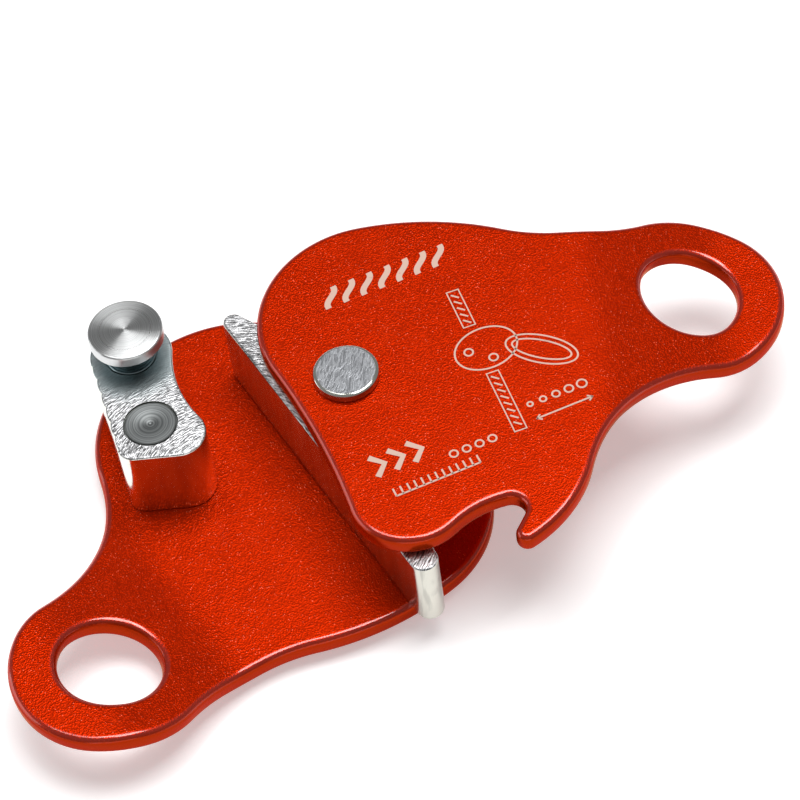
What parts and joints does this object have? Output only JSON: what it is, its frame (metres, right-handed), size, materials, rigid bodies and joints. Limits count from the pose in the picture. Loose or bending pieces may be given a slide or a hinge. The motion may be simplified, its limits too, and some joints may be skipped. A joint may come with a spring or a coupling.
{
  "type": "rope descender",
  "caption": "Rope descender with two hinged side plates, a pivoting rope shoe, a fixed jaw, a headed lock stud and a carabiner eye in each plate.",
  "frame": {"origin": "on the pivot axis, in the plane of the rivet heads on the outer face of the back plate", "axes": "+Z along the pivot, from the back plate to the front plate; +X along the back plate towards its eye; +Y across the back plate, away from the jaw"},
  "size_m": [0.1621, 0.093, 0.0295],
  "materials": {
    "plate_coat": "orange-red anodised, fine pebbled texture",
    "shoe_alloy": "polished sides, sawn ends",
    "jaw_alloy": "polished sides, coarse sawn top",
    "pin_steel": "turned end with concentric marks",
    "stud_steel": "turned head with a bright chamfer",
    "rivet_steel": "satin head with a bright rim",
    "sleeve_steel": "turned",
    "washer_brass": "plain"
  },
  "bodies": {
    "frame": {"back_plate": "plate_coat", "jaw_block": "jaw_alloy", "jaw_pin": "pin_steel", "lock_stud": "stud_steel", "pivot_rivet": "rivet_steel", "pivot_sleeve": "sleeve_steel", "back_washer": "washer_brass", "front_washer": "washer_brass"},
    "front_plate": {"front_plate": "plate_coat"},
    "rope_shoe": {"rope_shoe": "shoe_alloy"}
  },
  "joints": [
    {"name": "plate_hinge", "type": "hinge", "parent": "frame", "child": "front_plate", "pos_m": [0, 0, 0.0245], "axis": [0, 0, 1], "range_deg": [-149, 97]},
    {"name": "shoe_hinge", "type": "hinge", "parent": "frame", "child": "rope_shoe", "pos_m": [0, 0, 0.0142], "axis": [0, 0, 1], "range_deg": [-77, 36]}
  ]
}
